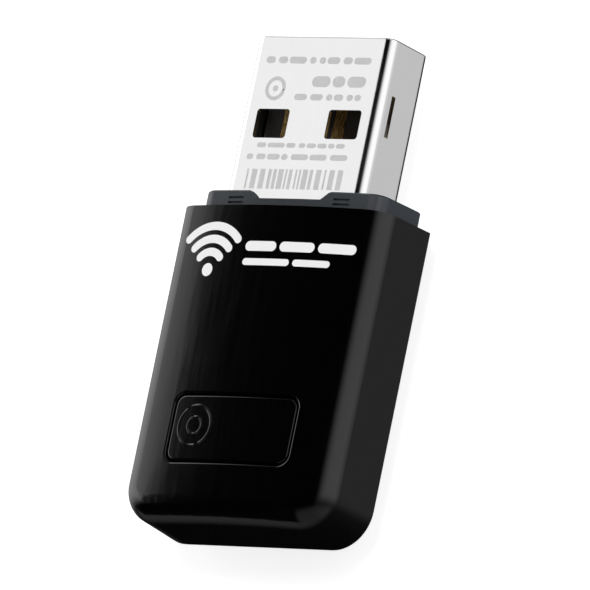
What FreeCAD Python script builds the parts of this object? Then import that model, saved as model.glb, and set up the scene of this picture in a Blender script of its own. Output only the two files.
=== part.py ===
import FreeCAD, Part
import math
import os
import Sketcher

# USB wireless network adapter: a two-part moulded case, a nose collar, a pressed-steel USB-A plug,
# a circuit board with its components, and a push key over a tactile switch.
#
# Frame, in millimetres: X across the width, Y along the length with the plug's tip at +Y, Z through
# the thickness with the key's face at +Z. The adapter lies on its flat back at Z = 0, and the origin
# is the centre of its outline.

doc = FreeCAD.newDocument("wifi_adapter")
sheet = doc.addObject("Spreadsheet::Sheet", "Dims")
sub_parts = []

TOUCH = 0.01  # two places nearer than this count as one
BESIDE = 0.1  # how far around a feature its own edges are looked for


# ---------------------------------------------------------------------------------------------
# Helpers: the spreadsheet, sketches, features and simple solids
# ---------------------------------------------------------------------------------------------

def define(**values):
    """Add driving dimensions to the spreadsheet, one aliased cell each."""
    for alias, value in values.items():
        row = define.next_row
        sheet.set(f"A{row}", alias)
        sheet.set(f"B{row}", str(value))
        sheet.setAlias(f"B{row}", alias)
        define.next_row += 1
    doc.recompute()


define.next_row = 1


def number(expression):
    """The present value of a spreadsheet expression."""
    return float(sheet.evalExpression(expression))


def bind(thing, **expressions):
    """Drive properties of an object; a double underscore stands for a dot in the property's path."""
    for path, expression in expressions.items():
        thing.setExpression(path.replace("__", "."), expression)


def keep(thing, label):
    """Make an object a sub-part of the adapter, exported under its label."""
    thing.Label = label
    sub_parts.append(thing)
    return thing


def new_body(label):
    body = doc.addObject("PartDesign::Body", "Body_" + label)
    return keep(body, label)


def new_sketch(body, name, plane, offset="0"):
    """A sketch parallel to one of the body's origin planes, at an offset along that plane's normal."""
    sketch = body.newObject("Sketcher::SketchObject", name)
    datum = next(feature for feature in body.Origin.OriginFeatures if feature.Role == plane)
    sketch.AttachmentSupport = [(datum, "")]
    sketch.MapMode = "FlatFace"
    bind(sketch, AttachmentOffset__Base__z=offset)
    return sketch


def fix_point(sketch, geometry, end, x, y):
    """Hold one point of a sketch at the coordinates that two expressions give."""
    axes = ((x, "DistanceX", -2), (y, "DistanceY", -1))
    for expression, kind, axis in axes:
        value = number(expression)
        if abs(value) < 1e-9:
            sketch.addConstraint(Sketcher.Constraint("PointOnObject", geometry, end, axis))
            continue
        index = sketch.addConstraint(Sketcher.Constraint(kind, -1, 1, geometry, end, value))
        sketch.setExpression(f"Constraints[{index}]", expression)


def fix_radius(sketch, geometry, radius):
    index = sketch.addConstraint(Sketcher.Constraint("Radius", geometry, number(radius)))
    sketch.setExpression(f"Constraints[{index}]", radius)


def nearest_end(sketch, geometry, point):
    """1 or 2: which end of a line or arc lies at a point."""
    gaps = [sketch.getPoint(geometry, end).distanceToPoint(point) for end in (1, 2)]
    return 1 + gaps.index(min(gaps))


def draw_polygon(sketch, corners):
    """Draw a closed outline. Each corner is (x, y) or, where it is rounded, (x, y, radius)."""
    count = len(corners)
    points = [FreeCAD.Vector(number(corner[0]), number(corner[1]), 0) for corner in corners]
    arrive = list(points)
    leave = list(points)
    arcs = {}
    for i, corner in enumerate(corners):
        if len(corner) == 2:
            continue
        radius = number(corner[2])
        back = (points[i - 1] - points[i]).normalize()
        ahead = (points[(i + 1) % count] - points[i]).normalize()
        half_angle = back.getAngle(ahead) / 2
        setback = radius / math.tan(half_angle)
        middle = (back + ahead).normalize() * (radius / math.sin(half_angle) - radius)
        arrive[i] = points[i] + back * setback
        leave[i] = points[i] + ahead * setback
        arcs[i] = sketch.addGeometry(Part.Arc(arrive[i], points[i] + middle, leave[i]))
        fix_radius(sketch, arcs[i], corner[2])
    lines = [
        sketch.addGeometry(Part.LineSegment(leave[i], arrive[(i + 1) % count])) for i in range(count)
    ]
    for i, corner in enumerate(corners):
        line_in = lines[i - 1]
        line_out = lines[i]
        if i not in arcs:
            sketch.addConstraint(Sketcher.Constraint("Coincident", line_in, 2, line_out, 1))
            fix_point(sketch, line_out, 1, corner[0], corner[1])
            continue
        vertex = sketch.addGeometry(Part.Point(points[i]), True)
        fix_point(sketch, vertex, 1, corner[0], corner[1])
        arc = arcs[i]
        arc_in = nearest_end(sketch, arc, arrive[i])
        arc_out = 3 - arc_in
        sketch.addConstraint(Sketcher.Constraint("Tangent", line_in, 2, arc, arc_in))
        sketch.addConstraint(Sketcher.Constraint("Tangent", line_out, 1, arc, arc_out))
        sketch.addConstraint(Sketcher.Constraint("PointOnObject", vertex, 1, line_in))
        sketch.addConstraint(Sketcher.Constraint("PointOnObject", vertex, 1, line_out))


def draw_rectangle(sketch, centre_x, centre_y, width, depth, radius=None):
    """A rectangle, with rounded corners if a radius is given."""
    left = f"({centre_x}) - ({width}) / 2"
    right = f"({centre_x}) + ({width}) / 2"
    low = f"({centre_y}) - ({depth}) / 2"
    high = f"({centre_y}) + ({depth}) / 2"
    corners = [(left, low), (right, low), (right, high), (left, high)]
    if radius is not None:
        corners = [corner + (radius,) for corner in corners]
    draw_polygon(sketch, corners)


def draw_circle(sketch, centre_x, centre_y, radius):
    centre = FreeCAD.Vector(number(centre_x), number(centre_y), 0)
    circle = sketch.addGeometry(Part.Circle(centre, FreeCAD.Vector(0, 0, 1), number(radius)))
    fix_point(sketch, circle, 3, centre_x, centre_y)
    fix_radius(sketch, circle, radius)


def pad(body, name, sketch, length, reverse=False):
    feature = body.newObject("PartDesign::Pad", name)
    feature.Profile = sketch
    feature.Reversed = reverse
    bind(feature, Length=length)
    doc.recompute()
    return feature


def pocket(body, name, sketch, length="2 * Dims.total_length", reverse=False, both_ways=False):
    """Cut a sketch out of a body; without a length it cuts right through."""
    before = body.Shape.Volume
    feature = body.newObject("PartDesign::Pocket", name)
    feature.Profile = sketch
    feature.Reversed = reverse
    if both_ways:
        feature.SideType = "Symmetric"
    bind(feature, Length=length)
    doc.recompute()
    if body.Shape.Volume > before - 1e-6:
        raise RuntimeError(f"{name} cuts nothing")
    return feature


def spots(piece):
    """Points along each edge of an edge or face: both ends and the middle."""
    return [point for edge in piece.Edges for point in edge.discretize(3)]


def edges_where(shape, test):
    """Names of the edges of a shape whose points all pass a test."""
    return [f"Edge{i}" for i, edge in enumerate(shape.Edges, 1) if all(map(test, spots(edge)))]


def faces_where(shape, test):
    """Names of the faces of a shape whose outlines' points all pass a test."""
    return [f"Face{i}" for i, face in enumerate(shape.Faces, 1) if all(map(test, spots(face)))]


def soften(body, kind, name, size_expression, test):
    """Fillet or chamfer those edges of a body that pass a test."""
    base = body.Tip
    feature = body.newObject("PartDesign::" + kind, name)
    feature.Base = (base, edges_where(base.Shape, test))
    bind(feature, **{"Radius" if kind == "Fillet" else "Size": size_expression})
    doc.recompute()
    return feature


def cut_crown(body, name, top, radius):
    """Trim a body's front to a shallow arch about the Y axis, highest on the centre line."""
    sketch = new_sketch(body, name + "_profile", "XZ_Plane")
    reach = "Dims.body_width"
    edge_x = number(reach)
    bow = number(radius)
    centre_z = number(top) - bow
    edge_z = centre_z + math.sqrt(bow ** 2 - edge_x ** 2)
    roof = f"{top} + Dims.overrun"
    left_end = FreeCAD.Vector(-edge_x, edge_z, 0)
    right_end = FreeCAD.Vector(edge_x, edge_z, 0)
    summit = FreeCAD.Vector(0, number(top), 0)
    left_top = FreeCAD.Vector(-edge_x, number(roof), 0)
    right_top = FreeCAD.Vector(edge_x, number(roof), 0)
    arch = sketch.addGeometry(Part.Arc(left_end, summit, right_end))
    right_side = sketch.addGeometry(Part.LineSegment(right_end, right_top))
    ceiling = sketch.addGeometry(Part.LineSegment(right_top, left_top))
    left_side = sketch.addGeometry(Part.LineSegment(left_top, left_end))
    arch_left = nearest_end(sketch, arch, left_end)
    arch_right = 3 - arch_left
    joins = (
        (arch, arch_right, right_side, 1),
        (right_side, 2, ceiling, 1),
        (ceiling, 2, left_side, 1),
        (left_side, 2, arch, arch_left),
    )
    for join in joins:
        sketch.addConstraint(Sketcher.Constraint("Coincident", *join))
    fix_point(sketch, arch, 3, "0", f"({top}) - ({radius})")
    fix_radius(sketch, arch, radius)
    fix_point(sketch, right_side, 2, reach, roof)
    fix_point(sketch, left_side, 1, f"-{reach}", roof)
    sketch.addConstraint(Sketcher.Constraint("Vertical", right_side))
    sketch.addConstraint(Sketcher.Constraint("Vertical", left_side))
    return pocket(body, name, sketch, both_ways=True)


def block(name, size, centre, base):
    """A Part box from expressions: its size in X, Y and Z, its centre in X and Y, its lowest Z."""
    box = doc.addObject("Part::Box", name)
    bind(box, Length=size[0], Width=size[1], Height=size[2])
    bind(
        box,
        Placement__Base__x=f"({centre[0]}) - ({size[0]}) / 2",
        Placement__Base__y=f"({centre[1]}) - ({size[1]}) / 2",
        Placement__Base__z=base,
    )
    return box


def drum(name, radius, height, centre, base):
    """A Part cylinder standing along Z."""
    cylinder = doc.addObject("Part::Cylinder", name)
    bind(cylinder, Radius=radius, Height=height)
    bind(
        cylinder,
        Placement__Base__x=centre[0],
        Placement__Base__y=centre[1],
        Placement__Base__z=base,
    )
    return cylinder


def fuse(name, pieces):
    union = doc.addObject("Part::MultiFuse", name)
    union.Shapes = pieces
    return union


def cut(name, base, tool):
    difference = doc.addObject("Part::Cut", name)
    difference.Base = base
    difference.Tool = tool
    return difference


def group(label, pieces):
    """Several separate solids of one kind, kept as one sub-part."""
    compound = doc.addObject("Part::Compound", "Group_" + label)
    compound.Links = pieces
    return keep(compound, label)


def bevelled(name, base, size, test):
    """Chamfer those edges of a Part solid that pass a test."""
    doc.recompute()
    chamfer = doc.addObject("Part::Chamfer", name)
    chamfer.Base = base
    chamfer.Edges = [
        (i, size, size) for i, edge in enumerate(base.Shape.Edges, 1) if all(map(test, spots(edge)))
    ]
    return chamfer


# ---------------------------------------------------------------------------------------------
# Driving dimensions of the whole adapter
# ---------------------------------------------------------------------------------------------

define(
    body_width=18.6,
    body_thickness=7.87,
    total_length=36.0,
    plug_reach=12.88,
    parting_height=1.9,
    corner_radius=2.9,
    edge_radius=1.75,
    side_draft=4.0,
    crown_radius=55.0,
    hollow_crown_radius=80.0,
    hollow_edge_radius=1.15,
    wall=1.2,
    floor_thickness=0.9,
    running_gap=0.05,
    overrun=3.0,
    overlap=0.1,
    arch_drop=0.25,
)
define(
    plug_width=12.0,
    plug_height=4.5,
    plug_centre_height=3.94,
    plug_sheet=0.3,
    plug_rear=1.2,
    board_underside=2.8,
    board_thickness=0.8,
)

TIP = "Dims.total_length / 2"
TAIL = "-Dims.total_length / 2"
RIM = "(Dims.total_length / 2 - Dims.plug_reach)"
HALF_WIDTH = "Dims.body_width / 2"
BOARD_TOP = "(Dims.board_underside + Dims.board_thickness)"
CEILING = "(Dims.body_thickness - Dims.wall)"
MID_WALL = "(Dims.body_thickness - Dims.wall / 2)"


# ---------------------------------------------------------------------------------------------
# Case: front cover, back cover and nose collar
# ---------------------------------------------------------------------------------------------

define(
    key_opening_width=10.8,
    key_opening_depth=5.04,
    key_opening_radius=0.9,
    key_opening_round=0.15,
    key_from_tail=6.89,
    post_radius=0.9,
    post_bore=0.45,
    rear_post_x=5.2,
    rear_post_from_tail=2.4,
    front_post_x=6.4,
    front_post_y=-3.0,
    latch_width=2.4,
    latch_height=0.4,
    latch_base=2.3,
    latch_depth=0.25,
    front_latch_y=-1.0,
    rear_latch_y=-11.0,
)

KEY_Y = f"({TAIL} + Dims.key_from_tail)"
POSTS = [
    (f"{side} * Dims.{across}", along)
    for side in (-1, 1)
    for across, along in (
        ("rear_post_x", f"{TAIL} + Dims.rear_post_from_tail"),
        ("front_post_x", "Dims.front_post_y"),
    )
]


def draw_case_outline(sketch, inset, front):
    """The case's plan: straight sides, two large rounded tail corners, cut off square at the front."""
    side = f"({HALF_WIDTH} - ({inset}))"
    tail = f"{TAIL} + ({inset})"
    radius = f"Dims.corner_radius - ({inset})"
    corners = [
        (f"-{side}", front),
        (f"-{side}", tail, radius),
        (side, tail, radius),
        (side, front),
    ]
    draw_polygon(sketch, corners)


def lean_sides(body, name, angle, downwards=False):
    """Draft the case's sides and tail inwards, away from the parting line."""
    base = body.Tip
    parting = number("Dims.parting_height")
    front_y = number(f"{RIM} + Dims.overrun") - TOUCH

    def is_side(face):
        heights = [point.z for point in spots(face)]
        behind_front = min(point.y for point in spots(face)) < front_y
        return behind_front and max(heights) - min(heights) > TOUCH

    sides = [f"Face{i}" for i, face in enumerate(base.Shape.Faces, 1) if is_side(face)]
    level = faces_where(base.Shape, lambda point: abs(point.z - parting) < TOUCH)
    feature = body.newObject("PartDesign::Draft", name)
    feature.Base = (base, sides)
    feature.NeutralPlane = (base, level)
    feature.Reversed = downwards
    bind(feature, Angle=angle)
    doc.recompute()
    if feature.Shape.Volume > base.Shape.Volume:
        raise RuntimeError(f"{name} leans the wrong way")


def trim_to_rim(body, name):
    """Cut the case off square where the collar comes out."""
    sketch = new_sketch(body, name + "_profile", "XY_Plane")
    draw_rectangle(sketch, "0", f"{RIM} + Dims.overrun", "2 * Dims.body_width", "2 * Dims.overrun")
    pocket(body, name, sketch, both_ways=True)


def make_front_form(body, name, inset, crown_radius, edge_radius):
    """The front cover's outer shape, or its hollow: leaning sides, arched face, rounded face edge."""
    outline = new_sketch(body, name + "_outline", "XY_Plane", "Dims.parting_height")
    draw_case_outline(outline, inset, f"{RIM} + Dims.overrun")
    top = f"(Dims.body_thickness - ({inset}))"
    pad(body, name + "_block", outline, f"{top} - Dims.parting_height")
    lean_sides(body, name + "_lean", "Dims.side_draft")
    cut_crown(body, name + "_arch", top, crown_radius)
    edge_floor = number(f"({top} + Dims.parting_height) / 2")
    front_y = number(f"{RIM} + Dims.overrun") - TOUCH
    base = body.Tip
    end_edges = edges_where(base.Shape, lambda point: point.y > front_y)
    face_edges = edges_where(base.Shape, lambda point: point.z > edge_floor)
    round_off = body.newObject("PartDesign::Fillet", name + "_edge_round")
    round_off.Base = (base, [edge for edge in face_edges if edge not in end_edges])
    bind(round_off, Radius=edge_radius)
    doc.recompute()


def make_front_cover():
    """Deep front cover: arched face, rounded edges and sides that lean out to the parting line."""
    hollow = doc.addObject("PartDesign::Body", "front_hollow")
    make_front_form(hollow, "hollow", "Dims.wall", "Dims.hollow_crown_radius", "Dims.hollow_edge_radius")
    body = new_body("front_cover")
    make_front_form(body, "front", "0", "Dims.crown_radius", "Dims.edge_radius")
    trim_to_rim(body, "front_rim_cut")
    opening_up = body.newObject("PartDesign::Boolean", "front_opening_up")
    opening_up.Type = "Cut"
    opening_up.setObjects([hollow])
    doc.recompute()

    opening = new_sketch(body, "key_opening_profile", "XY_Plane", "Dims.parting_height")
    draw_rectangle(
        opening, "0", KEY_Y, "Dims.key_opening_width", "Dims.key_opening_depth", "Dims.key_opening_radius"
    )
    pocket(body, "key_opening", opening, reverse=True)
    key_y = number(KEY_Y)
    half_opening = number("Dims.key_opening_width") / 2 + TOUCH
    half_depth = number("Dims.key_opening_depth") / 2 + TOUCH
    outer_floor = number(MID_WALL)

    def is_opening_edge(point):
        inside = abs(point.x) < half_opening and abs(point.y - key_y) < half_depth
        return inside and point.z > outer_floor

    soften(body, "Fillet", "key_opening_round", "Dims.key_opening_round", is_opening_edge)

    posts = new_sketch(body, "front_post_profile", "XY_Plane", f"{BOARD_TOP} + Dims.running_gap")
    for x, y in POSTS:
        draw_circle(posts, x, y, "Dims.post_radius")
        draw_circle(posts, x, y, "Dims.post_bore")
    pad(body, "front_posts", posts, f"{CEILING} - {BOARD_TOP} - Dims.arch_drop")

    latches = new_sketch(body, "latch_slot_profile", "XY_Plane", "Dims.latch_base")
    for side in ("-", ""):
        for y in ("Dims.front_latch_y", "Dims.rear_latch_y"):
            x = f"{side}({HALF_WIDTH} - Dims.wall)"
            depth = "2 * (Dims.latch_depth + Dims.running_gap)"
            draw_rectangle(latches, x, y, depth, "Dims.latch_width + 4 * Dims.running_gap")
    pocket(body, "latch_slots", latches, "Dims.latch_height + Dims.running_gap", reverse=True)


define(
    back_slope=42.0,
    back_edge_radius=1.2,
    lip_thickness=0.7,
    lip_height=0.85,
    lip_gap=0.12,
    lip_front_setback=3.6,
    pin_radius=0.4,
    pin_height=1.1,
    collar_depth=2.2,
    collar_underside=0.95,
    collar_slope_width=1.0,
    collar_gap=0.03,
)


def draw_collar_seat(sketch, gap):
    """The collar's section below and beside the plug: sides to the parting line, then sloping in."""
    side = f"({HALF_WIDTH} - Dims.wall + ({gap}))"
    lower = f"({HALF_WIDTH} - Dims.wall - Dims.collar_slope_width + ({gap}))"
    lean = "(Dims.body_thickness - Dims.parting_height) * tan(Dims.side_draft)"
    upper = f"({side} - {lean})"
    corners = [
        (f"-{upper}", "Dims.body_thickness"),
        (f"-{side}", "Dims.parting_height"),
        (f"-{lower}", f"Dims.collar_underside - ({gap})"),
        (lower, f"Dims.collar_underside - ({gap})"),
        (side, "Dims.parting_height"),
        (upper, "Dims.body_thickness"),
    ]
    draw_polygon(sketch, corners)


def draw_lip(sketch, inset, thickness, front):
    """A strip of even thickness inside the case's sides and tail, open at the front."""
    outer_side = f"({HALF_WIDTH} - {inset})"
    inner_side = f"({outer_side} - {thickness})"
    outer_tail = f"({TAIL} + {inset})"
    inner_tail = f"({outer_tail} + {thickness})"
    outer_radius = f"(Dims.corner_radius - {inset})"
    inner_radius = f"({outer_radius} - {thickness})"
    corners = [
        (f"-{outer_side}", front),
        (f"-{outer_side}", outer_tail, outer_radius),
        (outer_side, outer_tail, outer_radius),
        (outer_side, front),
        (inner_side, front),
        (inner_side, inner_tail, inner_radius),
        (f"-{inner_side}", inner_tail, inner_radius),
        (f"-{inner_side}", front),
    ]
    draw_polygon(sketch, corners)


def make_back_cover():
    """Shallow back cover: sloping sides, flat back, locating lip, latches and board pins."""
    body = new_body("back_cover")
    outline = new_sketch(body, "back_outline", "XY_Plane", "Dims.parting_height")
    draw_case_outline(outline, "0", f"{RIM} + Dims.overrun")
    pad(body, "back_block", outline, "Dims.parting_height", reverse=True)
    lean_sides(body, "back_lean", "Dims.back_slope", downwards=True)
    trim_to_rim(body, "back_rim_cut")
    rim_y = number(RIM)
    base = body.Tip
    rim_edges = edges_where(base.Shape, lambda point: point.y > rim_y - TOUCH)
    flat_edges = edges_where(base.Shape, lambda point: point.z < TOUCH)
    round_off = body.newObject("PartDesign::Fillet", "back_edge_round")
    round_off.Base = (base, [edge for edge in flat_edges if edge not in rim_edges])
    bind(round_off, Radius="Dims.back_edge_radius")
    doc.recompute()

    basin = new_sketch(body, "back_basin_profile", "XY_Plane", "Dims.parting_height")
    basin_inset = "Dims.wall + Dims.lip_gap + Dims.lip_thickness"
    draw_case_outline(basin, basin_inset, f"{RIM} - Dims.collar_depth + Dims.overlap")
    pocket(body, "back_basin", basin, "Dims.parting_height - Dims.floor_thickness")

    seat = new_sketch(body, "collar_seat_profile", "XZ_Plane", f"-{RIM} - Dims.overrun")
    draw_collar_seat(seat, "Dims.collar_gap")
    seat_depth = "Dims.collar_depth + Dims.collar_gap + Dims.overrun"
    pocket(body, "collar_seat", seat, seat_depth, reverse=True)

    lip = new_sketch(body, "lip_profile", "XY_Plane", "Dims.parting_height")
    draw_lip(lip, "(Dims.wall + Dims.lip_gap)", "Dims.lip_thickness", f"{RIM} - Dims.lip_front_setback")
    pad(body, "lip", lip, "Dims.lip_height")

    latches = new_sketch(body, "latch_profile", "XY_Plane", "Dims.latch_base + Dims.running_gap")
    for side in ("-", ""):
        for y in ("Dims.front_latch_y", "Dims.rear_latch_y"):
            x = f"{side}({HALF_WIDTH} - Dims.wall - Dims.lip_gap)"
            draw_rectangle(latches, x, y, "2 * Dims.latch_depth", "Dims.latch_width")
    pad(body, "latches", latches, "Dims.latch_height - Dims.running_gap")

    posts = new_sketch(body, "back_post_profile", "XY_Plane", "Dims.floor_thickness - Dims.overlap")
    pins = new_sketch(body, "pin_profile", "XY_Plane", "Dims.board_underside - Dims.overlap")
    for x, y in POSTS:
        draw_circle(posts, x, y, "Dims.post_radius")
        draw_circle(pins, x, y, "Dims.pin_radius")
    pad(body, "back_posts", posts, "Dims.board_underside - Dims.floor_thickness + Dims.overlap")
    pad(body, "pins", pins, "Dims.pin_height + Dims.board_thickness")


define(
    tab_rise=1.48,
    notch_rise=0.86,
    notch_width=5.65,
    notch_flare=0.75,
    collar_end_bevel=0.12,
    aperture_corner=0.6,
    mark_width=1.35,
    mark_height=0.16,
    mark_pitch=0.36,
    mark_depth=0.14,
    mark_x=4.62,
    mark_below_tab=0.75,
)


def make_nose_collar():
    """Collar that closes the case around the plug: two raised tabs with a notch between them."""
    body = new_body("nose_collar")
    section = new_sketch(body, "collar_section", "XZ_Plane", f"-({RIM} - Dims.collar_depth)")
    draw_collar_seat(section, "0")
    pad(body, "collar_block", section, "Dims.collar_depth + Dims.tab_rise", reverse=True)
    cut_crown(body, "collar_arch", f"{CEILING} - Dims.collar_gap", "Dims.hollow_crown_radius")

    edge_floor = number(f"({CEILING} + Dims.parting_height) / 2")
    half_seat = number(f"{HALF_WIDTH} - 2 * Dims.wall")
    soften(
        body, "Fillet", "collar_corner_round", "Dims.hollow_edge_radius",
        lambda point: point.z > edge_floor and abs(point.x) > half_seat,
    )

    aperture = new_sketch(body, "collar_aperture_profile", "XZ_Plane")
    draw_rectangle(
        aperture, "0", "Dims.plug_centre_height", "Dims.plug_width + 2 * Dims.collar_gap",
        "Dims.plug_height + 2 * Dims.collar_gap", "Dims.aperture_corner"
    )
    pocket(body, "collar_aperture", aperture, both_ways=True)

    end_y = number(f"{RIM} + Dims.tab_rise")
    half_plug = number("Dims.plug_width") / 2 + BESIDE
    plug_top = number(PLUG_FRONT) + BESIDE
    plug_low = number(f"{PLUG_FLOOR} - Dims.plug_sheet") - BESIDE

    def is_outer_end_edge(point):
        around_plug = abs(point.x) < half_plug and plug_low < point.z < plug_top
        return point.y > end_y - TOUCH and not around_plug

    soften(body, "Chamfer", "collar_end_bevel", "Dims.collar_end_bevel", is_outer_end_edge)

    notch = new_sketch(body, "notch_profile", "XY_Plane")
    half_low = "Dims.notch_width / 2"
    half_high = "(Dims.notch_width / 2 + 2 * Dims.notch_flare)"
    low_y = f"{RIM} + Dims.notch_rise"
    high_y = f"{RIM} + 2 * Dims.tab_rise - Dims.notch_rise"
    corners = [
        (f"-{half_high}", high_y),
        (f"-{half_low}", low_y),
        (half_low, low_y),
        (half_high, high_y),
    ]
    draw_polygon(notch, corners)
    pocket(body, "notch", notch, both_ways=True)

    mark_floor = f"{CEILING} - Dims.arch_drop - Dims.mark_depth"
    marks = new_sketch(body, "latch_mark_profile", "XY_Plane", mark_floor)
    for side in ("-", ""):
        for half_step in ("-", "+"):
            x = f"{side}Dims.mark_x"
            y = f"{RIM} + Dims.tab_rise - Dims.mark_below_tab {half_step} Dims.mark_pitch / 2"
            draw_rectangle(marks, x, y, "Dims.mark_width", "Dims.mark_height")
    pocket(body, "latch_marks", marks, reverse=True)


# ---------------------------------------------------------------------------------------------
# Push key
# ---------------------------------------------------------------------------------------------

define(
    key_width=10.5,
    key_depth=4.74,
    key_radius=0.75,
    key_round=0.15,
    key_recess=0.06,
    flange_width=11.9,
    flange_depth=5.7,
    flange_radius=1.3,
    flange_underside=5.55,
    key_stem_radius=1.1,
    key_stem_end=5.44,
)


def make_push_button():
    """Push key: a round-edged face through the cover, a retaining flange under it and a short stem."""
    body = new_body("push_button")
    flange = new_sketch(body, "flange_profile", "XY_Plane", "Dims.flange_underside")
    draw_rectangle(
        flange, "0", KEY_Y, "Dims.flange_width", "Dims.flange_depth", "Dims.flange_radius"
    )
    pad(body, "flange", flange, f"{CEILING} - Dims.flange_underside")
    cut_crown(body, "flange_arch", f"{CEILING} - Dims.running_gap", "Dims.hollow_crown_radius")

    face = new_sketch(body, "key_profile", "XY_Plane", "Dims.flange_underside")
    draw_rectangle(face, "0", KEY_Y, "Dims.key_width", "Dims.key_depth", "Dims.key_radius")
    pad(body, "key_block", face, "Dims.body_thickness - Dims.flange_underside")
    cut_crown(body, "key_arch", "Dims.body_thickness - Dims.key_recess", "Dims.crown_radius")
    face_floor = number(MID_WALL)
    soften(
        body, "Fillet", "key_edge_round", "Dims.key_round",
        lambda point: point.z > face_floor,
    )

    stem = new_sketch(body, "key_stem_profile", "XY_Plane", "Dims.key_stem_end")
    draw_circle(stem, "0", KEY_Y, "Dims.key_stem_radius")
    pad(body, "key_stem", stem, "Dims.flange_underside - Dims.key_stem_end + Dims.overlap")


# ---------------------------------------------------------------------------------------------
# USB-A plug: pressed shell, insulator with its tongue, four contacts
# ---------------------------------------------------------------------------------------------

define(
    plug_corner=0.7,
    window_pitch=6.3,
    window_width=2.86,
    window_length=2.13,
    window_from_tip=5.35,
    window_corner=0.25,
    slot_length=3.0,
    slot_height=0.42,
    slot_from_tip=3.9,
    slot_below_front=1.4,
    mouth_round=0.12,
    leg_reach=1.3,
    leg_length=1.5,
    insulator_gap=0.03,
    insulator_corner=0.4,
    tongue_corner=0.35,
    tongue_side_gap=0.05,
    groove_gap=0.01,
    tongue_height=1.84,
    tongue_setback=0.6,
    insulator_block_length=4.6,
    contact_width=1.0,
    contact_thickness=0.25,
    inner_contact_x=1.0,
    outer_contact_x=3.5,
    inner_contact_setback=2.6,
    outer_contact_setback=1.6,
    contact_tail=-0.3,
)

PLUG_LENGTH = f"({TIP} - Dims.plug_rear)"
PLUG_FRONT = "(Dims.plug_centre_height + Dims.plug_height / 2)"
PLUG_FLOOR = "(Dims.plug_centre_height - Dims.plug_height / 2 + Dims.plug_sheet)"
TONGUE_TOP = f"({BOARD_TOP} + Dims.contact_thickness)"


def make_usb_shell():
    """Folded sheet-steel shell with two latch windows in each broad face and a slot in each side."""
    body = new_body("usb_shell")
    section = new_sketch(body, "shell_section", "XZ_Plane", "-Dims.plug_rear")
    draw_rectangle(
        section, "0", "Dims.plug_centre_height", "Dims.plug_width", "Dims.plug_height", "Dims.plug_corner"
    )
    draw_rectangle(
        section, "0", "Dims.plug_centre_height", "Dims.plug_width - 2 * Dims.plug_sheet",
        "Dims.plug_height - 2 * Dims.plug_sheet", "Dims.plug_corner - Dims.plug_sheet"
    )
    pad(body, "shell_tube", section, PLUG_LENGTH, reverse=True)
    tip_y = number(TIP)
    soften(
        body, "Fillet", "mouth_round", "Dims.mouth_round",
        lambda point: point.y > tip_y - TOUCH,
    )

    windows = new_sketch(body, "window_profile", "XY_Plane")
    window_y = f"{TIP} - Dims.window_from_tip - Dims.window_length / 2"
    for side in ("-", ""):
        draw_rectangle(
            windows, f"{side}Dims.window_pitch / 2", window_y,
            "Dims.window_width", "Dims.window_length", "Dims.window_corner"
        )
    pocket(body, "windows", windows, both_ways=True)

    slots = new_sketch(body, "side_slot_profile", "YZ_Plane")
    slot_y = f"{TIP} - Dims.slot_from_tip - Dims.slot_length / 2"
    slot_z = f"{PLUG_FRONT} - Dims.slot_below_front"
    draw_rectangle(slots, slot_y, slot_z, "Dims.slot_length", "Dims.slot_height")
    pocket(body, "side_slots", slots, both_ways=True)

    legs = new_sketch(body, "leg_profile", "XY_Plane", BOARD_TOP)
    for side in ("-", ""):
        x = f"{side}(Dims.plug_width / 2 - Dims.plug_sheet / 2 + Dims.leg_reach / 2)"
        y = "Dims.plug_rear + Dims.leg_length / 2"
        draw_rectangle(legs, x, y, "Dims.leg_reach + Dims.plug_sheet", "Dims.leg_length")
    pad(body, "legs", legs, "Dims.plug_sheet")


def make_usb_insulator():
    """Moulded insulator: a block that fills the shell's rear and a tongue with four contact grooves."""
    body = new_body("usb_insulator")
    inner_width = "Dims.plug_width - 2 * Dims.plug_sheet - 2 * Dims.insulator_gap"
    inner_height = "Dims.plug_height - 2 * Dims.plug_sheet - 2 * Dims.insulator_gap"
    rear = "-(Dims.plug_rear + Dims.insulator_gap)"
    rear_block = new_sketch(body, "insulator_block_profile", "XZ_Plane", rear)
    draw_rectangle(
        rear_block, "0", "Dims.plug_centre_height", inner_width, inner_height, "Dims.insulator_corner"
    )
    pad(body, "insulator_block", rear_block, "Dims.insulator_block_length", reverse=True)

    tongue = new_sketch(body, "tongue_profile", "XZ_Plane", rear)
    low = f"({PLUG_FLOOR} + Dims.insulator_gap)"
    draw_rectangle(
        tongue, "0", f"({low} + {TONGUE_TOP}) / 2", f"{inner_width} - 2 * Dims.tongue_side_gap",
        f"{TONGUE_TOP} - {low}", "Dims.tongue_corner"
    )
    pad(body, "tongue", tongue, f"{PLUG_LENGTH} - Dims.tongue_setback", reverse=True)

    grooves = new_sketch(body, "groove_profile", "XZ_Plane")
    groove_floor = f"({BOARD_TOP} - Dims.groove_gap)"
    groove_top = f"({TONGUE_TOP} + Dims.overlap)"
    groove_width = "Dims.contact_width + 2 * Dims.insulator_gap"
    for side in ("-", ""):
        for x in ("Dims.inner_contact_x", "Dims.outer_contact_x"):
            z = f"({groove_floor} + {groove_top}) / 2"
            draw_rectangle(grooves, side + x, z, groove_width, f"{groove_top} - {groove_floor}")
    pocket(body, "contact_grooves", grooves, both_ways=True)


def make_usb_contacts():
    """Four gold-plated contacts: the outer pair reaches nearer to the tip than the inner pair."""
    contacts = []
    for side_name, side in (("left", "-"), ("right", "")):
        for place in ("inner", "outer"):
            length = f"{TIP} - Dims.{place}_contact_setback - Dims.contact_tail"
            centre_y = f"Dims.contact_tail + ({length}) / 2"
            contacts.append(block(
                f"contact_{side_name}_{place}",
                ("Dims.contact_width", length, "Dims.contact_thickness"),
                (f"{side}Dims.{place}_contact_x", centre_y),
                BOARD_TOP,
            ))
    group("usb_contacts", contacts)


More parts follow.
